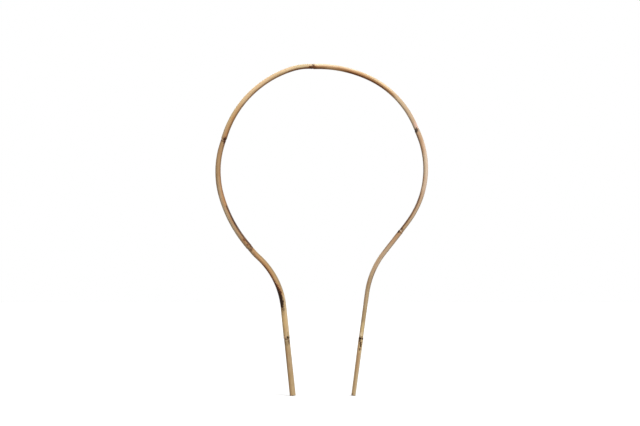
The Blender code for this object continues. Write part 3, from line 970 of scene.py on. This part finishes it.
piece, skin = grow_segment("right_upper_hoop", "left_upper_hoop", BACK_BUD, TOP_MARKS, RIGHT_UPPER_MARKS)
swell(piece, BULGE, angle=-45, around=80, at=knuckle_at("right_upper_hoop") - 0.0125, reach=0.0065)
finish_segment(piece, skin, "right_upper_hoop")


# Right upper knuckle: solid bamboo, high on the hoop's right side. Its bud faces the front, in bark that has
# weathered grey.
grow_knuckle("right_upper", "right_upper_hoop", "right_lower_hoop", FRONT_BUD, RIGHT_UPPER_MARKS)


# Right lower hoop: the sixth segment, down the hoop's right side. Rosy cream bark that turns tan towards the
# next knuckle, with a thin grey-brown line inside.
RIGHT_LOWER_MARKS = (
    (-2, -0.0034, 0.0072, 0.0034, STREAK_BROWN, 0.80),
    (-20, 0.0032, 0.0060, 0.0030, STREAK_BROWN, 0.65),
    (20, 0.0002, 0.0070, 0.0034, PALE_GREY, 0.65),
    (36, -0.0040, 0.0058, 0.0056, BURNT_BROWN, 0.95),
    (62, 0.0036, 0.0090, 0.0080, CHAR_BLACK, 1.00),
)

stripes += [
    # Rosy cream on the outer side: partly the bark's own colour, partly a painted highlight where the key
    # lamp falls
    (-60, 34, 64, 1.120, 1.250, ROSY_CREAM, 0.55, 0.020),
    (10, 30, 70, 1.178, 1.200, ORANGE_BLOTCH, 0.35, 0.012),
    (90, 62, 84, 1.105, 1.172, SCORCH_BROWN, 0.90, 0.020),
    (90, 46, 68, 1.192, 1.215, SCORCH_BROWN, 0.60, 0.020),
]

piece, skin = grow_segment(
    "right_lower_hoop", "right_upper_hoop", FRONT_BUD, RIGHT_UPPER_MARKS, RIGHT_LOWER_MARKS,
)
finish_segment(piece, skin, "right_lower_hoop")


# Right lower knuckle: where the hoop turns into the right shoulder. Its bud is at the back, and there are
# black spots and a pale bloom on the hoop's side.
grow_knuckle("right_lower", "right_lower_hoop", "right_shoulder", BACK_BUD, RIGHT_LOWER_MARKS)


# Right shoulder: the seventh segment, bent back downwards and then straight down the leg. Tan bark that turns
# olive, greyed along its outer edge in the bend.
BRANCH_ANGLE = 20
SIDE_BRANCH_ANGLE = -52
PALE_YELLOW = (226, 200, 146)
RIGHT_LEG_MARKS = (
    (12, -0.0055, 0.0070, 0.0090, PALE_BLOTCH, 0.55),
    (-62, 0.0004, 0.0056, 0.0024, SCORCH_BROWN, 0.80),
    (50, 0.0006, 0.0048, 0.0022, SCORCH_BROWN, 0.75),
    (8, 0.0011, 0.0056, 0.0024, SCORCH_BROWN, 0.75),
    (BRANCH_ANGLE, 0.0030, 0.0058, 0.0060, CHAR_BLACK, 1.00),
    (SIDE_BRANCH_ANGLE, 0.0030, 0.0056, 0.0056, CHAR_BLACK, 1.00),
)

stripes += [
    (-76, 22, 48, 1.264, 1.292, GREY_BROWN, 0.70, 0.012),
    (84, 24, 48, 1.285, 1.376, GREY_BROWN, 0.30, 0.020),
    (26, 12, 30, 1.290, cane_length, STREAK_BROWN, 0.30, 0.020),
    (-8, 24, 48, 1.366, 1.386, PALE_YELLOW, 0.60, 0.010),
    (-14, 30, 54, 1.394, 1.416, PALE_YELLOW, 0.40, 0.004),
    (-60, 20, 44, 1.418, cane_length, PALE_BLOTCH, 0.30, 0.012),
]

piece, skin = grow_segment(
    "right_shoulder", "right_lower_hoop", BACK_BUD, RIGHT_LOWER_MARKS, RIGHT_LEG_MARKS,
)
finish_segment(piece, skin, "right_shoulder")


# Right leg knuckle: the last knuckle, where two small branches were cut off beside each other. What is left
# of them are short stubs, cut nearly flush with the bark, with dark, split wood and a hollow pith.
STUB_SIDES = 32
STUB_LEAN = 55.0
STUB_LENGTH = 0.006
STUB_RISE = 0.0006
STUB_RIM = 0.20
CUT_FACING = 0.99
PITH_RIM = 0.05
PITH_DEPTH = 0.0005
CUT_BLACK = (46, 32, 22)
CUT_BROWN = (92, 68, 44)
CUT_FIBRES = (0.0005, 0.0005)
CUT_DEPTH = 0.0002
BRANCH_DOT = (BRANCH_ANGLE, 0.0026, 0.0054, 0.0046)

# The branches: angle, place past the knuckle's middle, and width
BRANCHES = ((BRANCH_ANGLE, 0.0028, 0.0028), (SIDE_BRANCH_ANGLE, 0.0026, 0.0018))


def cut_wood(name):
    """Weathered end grain of a cut branch: nearly black, with paler fibres."""
    skin = Skin(name + "_cut", CUT_BLACK)
    skin.tint(skin.noise(*CUT_FIBRES, shift=4.0), 0.45, 0.70, 0.50, CUT_BROWN)
    skin.roughen(skin.torn, 0.82, 0.92)
    skin.relief = skin.torn
    return skin.finish(CUT_DEPTH)


def cut_branch(piece, angle, past, width, cut):
    """A stub of a branch that left the cane at a slant, sawn off nearly flush."""
    turn = math.radians(angle)
    away = Vector((math.cos(turn), math.sin(turn), 0.0))
    end = away * (knuckle_radius("right_shoulder", "right_foot") + STUB_RISE)
    end.z = knuckle_at("right_shoulder") + past
    bpy.ops.object.select_all(action="DESELECT")
    bpy.ops.mesh.primitive_cylinder_add(
        vertices=STUB_SIDES, radius=width / 2, depth=STUB_LENGTH,
        rotation=(0.0, math.radians(STUB_LEAN), turn), location=end,
    )
    stub = added("stub")
    stub.data.materials.append(piece.data.materials[0])
    stub.data.materials.append(cut)
    bpy.ops.object.mode_set(mode="EDIT")
    bpy.ops.mesh.select_all(action="SELECT")
    bpy.ops.mesh.bisect(plane_co=end, plane_no=away, clear_outer=True, use_fill=True)
    leave_edit()
    pick(stub, "FACE", lambda face: face.normal.dot(away) > CUT_FACING)
    bpy.ops.mesh.inset(thickness=width * STUB_RIM)
    stub.active_material_index = 1
    bpy.ops.object.material_slot_assign()
    bpy.ops.mesh.inset(thickness=width * PITH_RIM)
    bpy.ops.transform.translate(value=away * -PITH_DEPTH)
    leave_edit()
    join_on(piece, stub)


piece = turn_knuckle("right_leg_knuckle", "right_shoulder", "right_foot", BRANCH_ANGLE)
skin = knuckle_bark("right_leg_knuckle", "right_shoulder")
mark(skin, "right_shoulder", RIGHT_LEG_MARKS)
black_dot(skin, "right_shoulder", *BRANCH_DOT)
piece.data.materials.append(skin.finish(FIBRE_DEPTH))
cut = cut_wood("right_leg_knuckle")
for angle, past, width in BRANCHES:
    cut_branch(piece, angle, past, width, cut)
hand_over(piece, "right_leg_node")


# Right foot: the last segment and the tip of the cane, sawn square and open. An old crack wanders down its
# front from the cut branch, dark with dirt, and the sawn edge is chipped on the hoop's side.
CHIP = -0.0006

# The crack, in steps: angle, place past the knuckle's middle, width, strength and slant in degrees
CRACK = (
    (18, 0.0076, 0.0033, 1.00, 14),
    (-6, 0.0106, 0.0033, 1.00, -34),
    (-17, 0.0136, 0.0042, 1.00, -8),
    (-18, 0.0162, 0.0038, 1.00, 6),
    (-5, 0.0224, 0.0040, 0.90, 10),
)
CRACK_LENGTH = 0.0062
CRACK_EDGE = 0.35

piece, skin = grow_segment("right_foot", "right_shoulder", BRANCH_ANGLE, RIGHT_LEG_MARKS)
for angle, past, wide, strength, slant in CRACK:
    place = knuckle_at("right_shoulder") + past
    skin.stain(angle, place, wide, CRACK_LENGTH, BURNT_BROWN, strength, CRACK_EDGE, slant=slant)
skin.stain(60, at=cane_length - 0.002, wide=0.006, long=0.007, srgb=STREAK_BROWN, strength=0.95)
hollow_out(piece, skin)
saw_end(piece, cane_length)
swell(piece, CHIP, angle=78, around=34, at=cane_length, reach=0.0018)
hand_over(piece, "right_foot")

bpy.data.objects.remove(former)


# Floor: a plain white sheet. The camera sees it as white as the background, apart from the hoop's shadow, and
# it throws only a little light back at the hoop.
FLOOR_SIZE = 12.0
FLOOR_WHITE = 0.80
FLOOR_GREY = 0.28
FLOOR_LIFT = 0.06
FLOOR_ROUGHNESS = 0.9
WHITE = (1.0, 1.0, 1.0, 1.0)


def looked_at(tree):
    """1 where the camera sees a surface, also in gloss or through glass, and 0 for the light it throws."""
    path = tree.nodes.new("ShaderNodeLightPath")
    seen = path.outputs["Is Camera Ray"]
    for ray in ("Is Glossy Ray", "Is Transmission Ray"):
        either = tree.nodes.new("ShaderNodeMath")
        either.operation = "MAXIMUM"
        tree.links.new(seen, either.inputs[0])
        tree.links.new(path.outputs[ray], either.inputs[1])
        seen = either.outputs[0]
    return seen


def between(tree, share, low, high, socket):
    """Sets a socket to low where share is 0 and to high where it is 1."""
    change = tree.nodes.new("ShaderNodeMapRange")
    change.inputs["To Min"].default_value = low
    change.inputs["To Max"].default_value = high
    tree.links.new(share, change.inputs["Value"])
    tree.links.new(change.outputs["Result"], socket)


bpy.ops.object.select_all(action="DESELECT")
bpy.ops.mesh.primitive_plane_add(size=FLOOR_SIZE)
floor = bpy.context.object
floor.name = "floor"
paper = bpy.data.materials.new("white_paper")
paper.use_nodes = True
shader = paper.node_tree.nodes["Principled BSDF"]
shader.inputs["Roughness"].default_value = FLOOR_ROUGHNESS
shader.inputs["Specular IOR Level"].default_value = 0.0
shader.inputs["Emission Color"].default_value = WHITE
seen = looked_at(paper.node_tree)
between(paper.node_tree, seen, FLOOR_GREY, FLOOR_WHITE, shader.inputs["Base Color"])
between(paper.node_tree, seen, 0.0, FLOOR_LIFT, shader.inputs["Emission Strength"])
floor.data.materials.append(paper)


# Light: a soft studio. A wide lamp above to the right of the camera, a weak one behind the hoop, and white
# walls all round. Each lamp has the way to it from the hoop, its width in degrees and its strength.
WALLS = 0.38
KEY = ((0.26, -0.58, 0.78), 30.0, 3.1)
BACK = ((-0.30, 0.80, 0.60), 50.0, 1.3)
world = bpy.data.worlds.new("studio")
bpy.context.scene.world = world
world.use_nodes = True
background = world.node_tree.nodes["Background"]
background.inputs["Color"].default_value = WHITE
between(world.node_tree, looked_at(world.node_tree), WALLS, 1.0, background.inputs["Strength"])


def sun(name, towards, softness, energy):
    """A far, wide lamp, which lights the floor evenly."""
    light = bpy.data.lights.new(name, "SUN")
    light.angle = math.radians(softness)
    light.energy = energy
    thing = bpy.data.objects.new(name, light)
    bpy.context.scene.collection.objects.link(thing)
    thing.rotation_euler = Vector(towards).to_track_quat("Z", "Y").to_euler()


sun("key", *KEY)
sun("back", *BACK)


# Camera: level with the middle of the picture and square to the hoop. Its lens is long, so that the cane is
# seen straight on from foot to crown.
PIXEL = 0.00184
PICTURE = (640, 426)
MIDDLE_PIXEL_X = 321.7
GROUND_PIXEL_Y = 395.8
LENS = 180.0
camera_data = bpy.data.cameras.new("camera")
camera_data.lens = LENS
camera = bpy.data.objects.new("camera", camera_data)
bpy.context.scene.collection.objects.link(camera)
distance = PICTURE[0] * PIXEL * LENS / camera_data.sensor_width
camera.location = (
    (PICTURE[0] / 2 - MIDDLE_PIXEL_X) * PIXEL, -distance, (GROUND_PIXEL_Y - PICTURE[1] / 2) * PIXEL,
)
camera.rotation_euler = (math.pi / 2, 0.0, 0.0)
bpy.context.scene.camera = camera
bpy.context.scene.view_settings.view_transform = "Standard"
